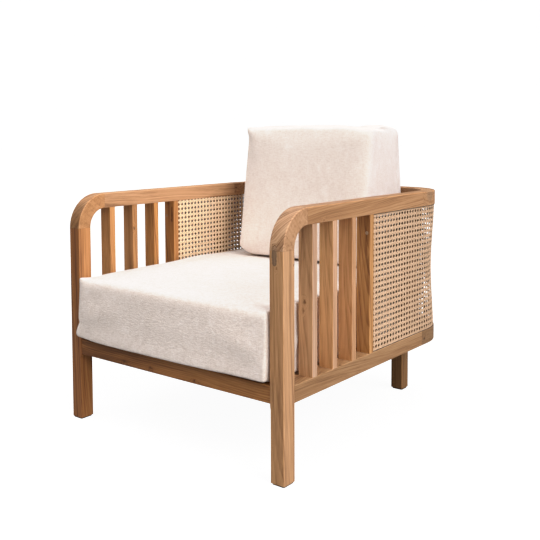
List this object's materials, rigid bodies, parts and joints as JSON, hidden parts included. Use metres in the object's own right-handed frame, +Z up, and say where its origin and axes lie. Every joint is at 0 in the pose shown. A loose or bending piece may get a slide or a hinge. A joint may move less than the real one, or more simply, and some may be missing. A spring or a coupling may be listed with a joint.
{
  "type": "lounge armchair",
  "caption": "Low wooden lounge armchair with rounded arms, slatted sides, a woven cane screen round the back, and loose seat and back cushions.",
  "frame": {"origin": "bottom centre of the whole chair's box, on the floor", "axes": "+Z up, -Y is the way the sitter faces, +X to the right of someone facing the chair"},
  "size_m": [0.73, 0.8439, 0.787],
  "materials": {
    "teak": "satin",
    "deck_wood": "matte",
    "beech_dowel": "matte",
    "cane": "satin",
    "cane_spline": "matte",
    "steel": "satin",
    "brass_insert": "satin",
    "foot_pad": "matte",
    "cushion_fabric": "matte",
    "cushion_foam": "matte"
  },
  "bodies": {
    "frame": {"arm_curve_left": "teak", "arm_curve_right": "teak", "arm_rail_left": "teak", "arm_rail_right": "teak", "back_bottom_rail": "teak", "back_top_rail": "teak", "back_upright_left": "teak", "back_upright_right": "teak", "cane_inner": "cane", "cane_outer": "cane", "cane_post_left": "teak", "cane_post_right": "teak", "cane_splines_inner": "cane_spline", "cane_splines_outer": "cane_spline", "cane_stile_left": "teak", "cane_stile_right": "teak", "cleat_screws": "steel", "deck_screws": "steel", "foot_pads": "foot_pad", "front_leg_left": "teak", "front_leg_right": "teak", "front_rail": "teak", "joint_dowels": "beech_dowel", "post_screws": "steel", "rear_corner_bottom_left": "teak", "rear_corner_bottom_right": "teak", "rear_corner_top_left": "teak", "rear_corner_top_right": "teak", "rear_leg_bolts": "steel", "rear_leg_inserts": "brass_insert", "rear_leg_left": "teak", "rear_leg_right": "teak", "rear_upright_left": "teak", "rear_upright_right": "teak", "seat_cleat_back": "deck_wood", "seat_cleat_left": "deck_wood", "seat_cleat_right": "deck_wood", "seat_slat_1": "deck_wood", "seat_slat_2": "deck_wood", "seat_slat_3": "deck_wood", "seat_slat_4": "deck_wood", "seat_slat_5": "deck_wood", "seat_slat_6": "deck_wood", "seat_slat_7": "deck_wood", "seat_slat_8": "deck_wood", "side_rail_left": "teak", "side_rail_right": "teak", "slat_1_left": "teak", "slat_1_right": "teak", "slat_2_left": "teak", "slat_2_right": "teak", "slat_3_left": "teak", "slat_3_right": "teak", "wood_plugs": "teak"},
    "seat_cushion": {"seat_cushion_cover": "cushion_fabric", "seat_cushion_foam": "cushion_foam"},
    "back_cushion": {"back_cushion_cover": "cushion_fabric", "back_cushion_foam": "cushion_foam"}
  },
  "joints": [
    {"name": "seat_cushion_lift", "type": "slide", "parent": "frame", "child": "seat_cushion", "axis": [0, 0, 1], "range_m": [0, 0.4]},
    {"name": "back_cushion_lift", "type": "slide", "parent": "seat_cushion", "child": "back_cushion", "axis": [0, 0, 1], "range_m": [0, 0.25]}
  ]
}
